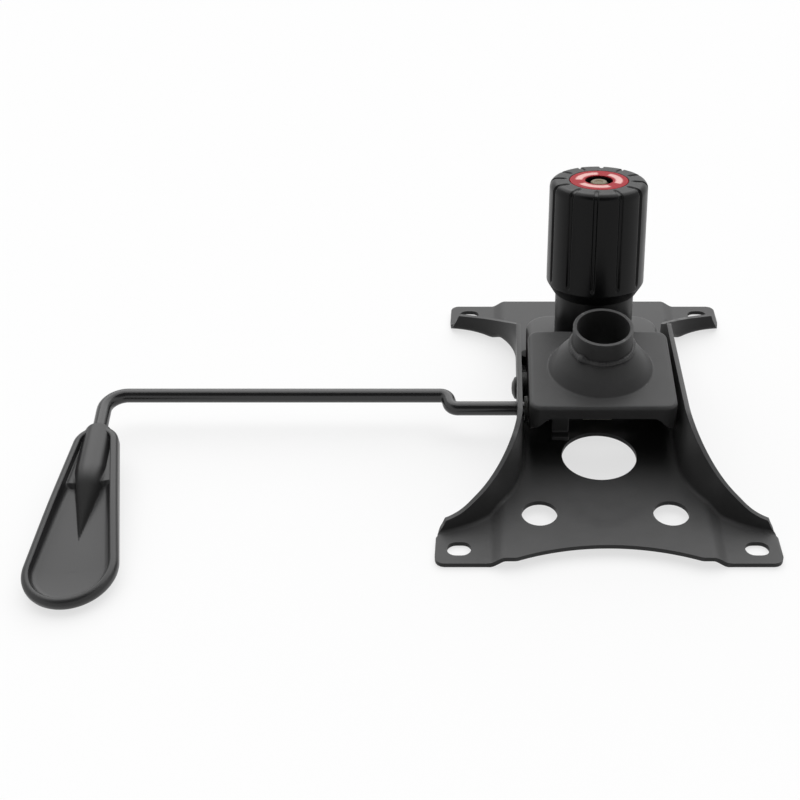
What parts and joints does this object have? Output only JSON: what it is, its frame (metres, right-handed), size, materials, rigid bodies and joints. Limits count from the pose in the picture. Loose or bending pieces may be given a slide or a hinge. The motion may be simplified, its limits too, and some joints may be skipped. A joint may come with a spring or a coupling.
{
  "type": "office chair tilt mechanism",
  "caption": "Office chair tilt mechanism: hourglass seat plate, tilting housing with gas lift socket, sprung bolt with tension knob, and a bent hand lever with a spoon handle.",
  "frame": {"origin": "centre of the four seat bolt slots, on the plate's face that meets the seat board", "axes": "+Z away from the seat (down when the chair is in use), +Y to the chair's front, where the knob is, and -X to the hand lever"},
  "size_m": [0.3724, 0.2724, 0.131],
  "materials": {
    "coated_steel": "satin black powder coat",
    "axle_steel": "black coated rivet head",
    "bright_steel": "zinc plated",
    "spring_steel": "oiled spring wire",
    "rod_steel": "semi-gloss black coat",
    "bumper_rubber": "matt",
    "knob_plastic": "satin moulded",
    "sleeve_plastic": "satin",
    "handle_plastic": "fine grain moulded",
    "disc_red": "printed disc",
    "nylon": "dark grey nylon"
  },
  "bodies": {
    "seat_plate": {"seat_plate": "coated_steel", "pivot_axle": "axle_steel", "axle_ring": "bright_steel", "anchor_bracket": "coated_steel", "rest_bumpers": "bumper_rubber"},
    "housing": {"housing": "coated_steel", "socket_tube": "coated_steel", "socket_weld": "coated_steel", "pivot_tube": "coated_steel", "pivot_bushes": "nylon", "inner_tab": "coated_steel", "spring_seat": "bright_steel", "spring_sleeve": "sleeve_plastic", "tension_spring": "spring_steel", "rod_bushes": "nylon"},
    "tension_bolt": {"tension_bolt": "bright_steel"},
    "thrust_washer": {"thrust_washer": "bright_steel"},
    "knob": {"knob": "knob_plastic", "knob_nut": "bright_steel", "knob_disc": "disc_red"},
    "release_cam": {"release_cam": "bright_steel"},
    "lever": {"lever_rod": "rod_steel", "rod_clip": "bright_steel", "lever_handle": "handle_plastic"}
  },
  "joints": [
    {"name": "tilt", "type": "hinge", "parent": "seat_plate", "child": "housing", "pos_m": [0, 0.0065, 0.018], "axis": [1, 0, 0], "range_deg": [0, 12], "stiffness_Nm_per_rad": 40, "springref_deg": -14.32, "deforming": ["tension_spring"]},
    {"name": "bolt_swing", "type": "hinge", "parent": "seat_plate", "child": "tension_bolt", "pos_m": [0, 0.036, 0.02], "axis": [1, 0, 0], "range_deg": [0, 12]},
    {"name": "knob_feed", "type": "slide", "parent": "tension_bolt", "child": "thrust_washer", "axis": [0, -0.1219, -0.9925], "range_m": [0, 0.008], "deforming": ["tension_spring"]},
    {"name": "knob_turn", "type": "hinge", "parent": "thrust_washer", "child": "knob", "pos_m": [0, 0.036, 0.02], "axis": [0, -0.1219, -0.9925], "range_deg": [0, 1440]},
    {"name": "lever_lift", "type": "hinge", "parent": "housing", "child": "release_cam", "pos_m": [0, -0.01582, 0.02], "axis": [-1, 0, 0], "range_deg": [0, 12]},
    {"name": "lever_lock", "type": "slide", "parent": "release_cam", "child": "lever", "axis": [-1, 0, 0], "range_m": [0, 0.006]}
  ],
  "couplings": [
    {"joint": "bolt_swing", "follows": "tilt", "ratio": 1},
    {"joint": "knob_feed", "follows": "knob_turn", "m_per_rad": 0.0003183}
  ]
}
